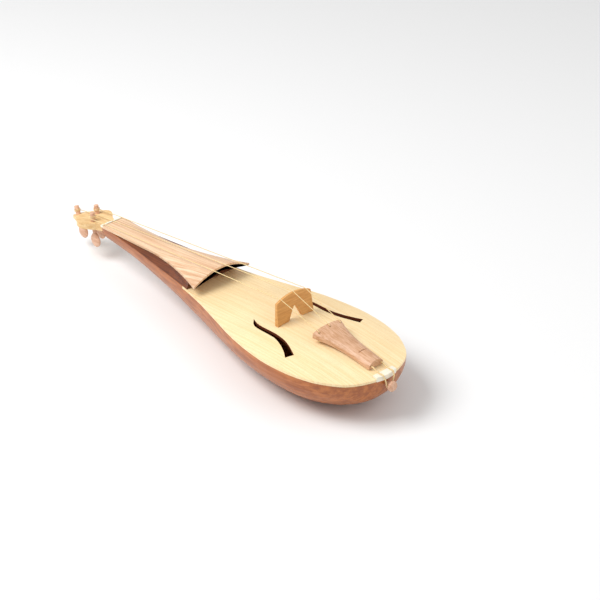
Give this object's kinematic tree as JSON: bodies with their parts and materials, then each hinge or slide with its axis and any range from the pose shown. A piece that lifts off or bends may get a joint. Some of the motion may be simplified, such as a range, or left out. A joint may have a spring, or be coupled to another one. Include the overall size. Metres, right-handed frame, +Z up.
{
  "type": "rebec",
  "caption": "Pear-shaped bowed fiddle with a carved bowl and neck, arched soundboard, leaf-shaped peg head, tall bridge and long tailpiece.",
  "frame": {"origin": "centre of the bounding box at its bottom, on the flat of the back", "axes": "+X from the nut to the tail, +Y to the side of peg 1, +Z up out of the soundboard"},
  "size_m": [0.575, 0.1568, 0.0989],
  "materials": {
    "bowl_wood": "satin",
    "spruce": "satin",
    "inner_spruce": "satin",
    "dark_wood": "satin",
    "fingerboard_wood": "satin",
    "pale_wood": "satin",
    "peg_wood": "satin",
    "bridge_wood": "satin",
    "tailpiece_wood": "satin",
    "bone": "polished bone",
    "gut": "plain gut"
  },
  "bodies": {
    "root": {"body_shell": "bowl_wood", "soundboard": "spruce", "bass_bar": "inner_spruce", "sound_post": "inner_spruce", "fingerboard_riser": "dark_wood", "fingerboard": "fingerboard_wood", "nut": "bone", "peg_head": "pale_wood", "bridge": "bridge_wood", "tailpiece": "tailpiece_wood", "tailgut": "gut", "saddle": "bone", "end_button": "peg_wood", "string_1": "gut", "string_1_knot": "gut", "string_2": "gut", "string_2_knot": "gut", "string_3": "gut", "string_3_knot": "gut"},
    "peg_1": {"peg_1": "peg_wood", "peg_1_winding": "gut"},
    "peg_2": {"peg_2": "peg_wood", "peg_2_winding": "gut"},
    "peg_3": {"peg_3": "peg_wood", "peg_3_winding": "gut"}
  },
  "joints": [
    {"name": "peg_1_turn", "type": "hinge", "parent": "root", "child": "peg_1", "pos_m": [-0.2503, 0.0093, 0.05109], "axis": [-0.2079, 0, 0.9781], "continuous": true},
    {"name": "peg_2_turn", "type": "hinge", "parent": "root", "child": "peg_2", "pos_m": [-0.278, 0, 0.04276], "axis": [-0.3623, 0, 0.932], "continuous": true},
    {"name": "peg_3_turn", "type": "hinge", "parent": "root", "child": "peg_3", "pos_m": [-0.234, -0.01, 0.05371], "axis": [-0.1083, 0, 0.9941], "continuous": true}
  ]
}
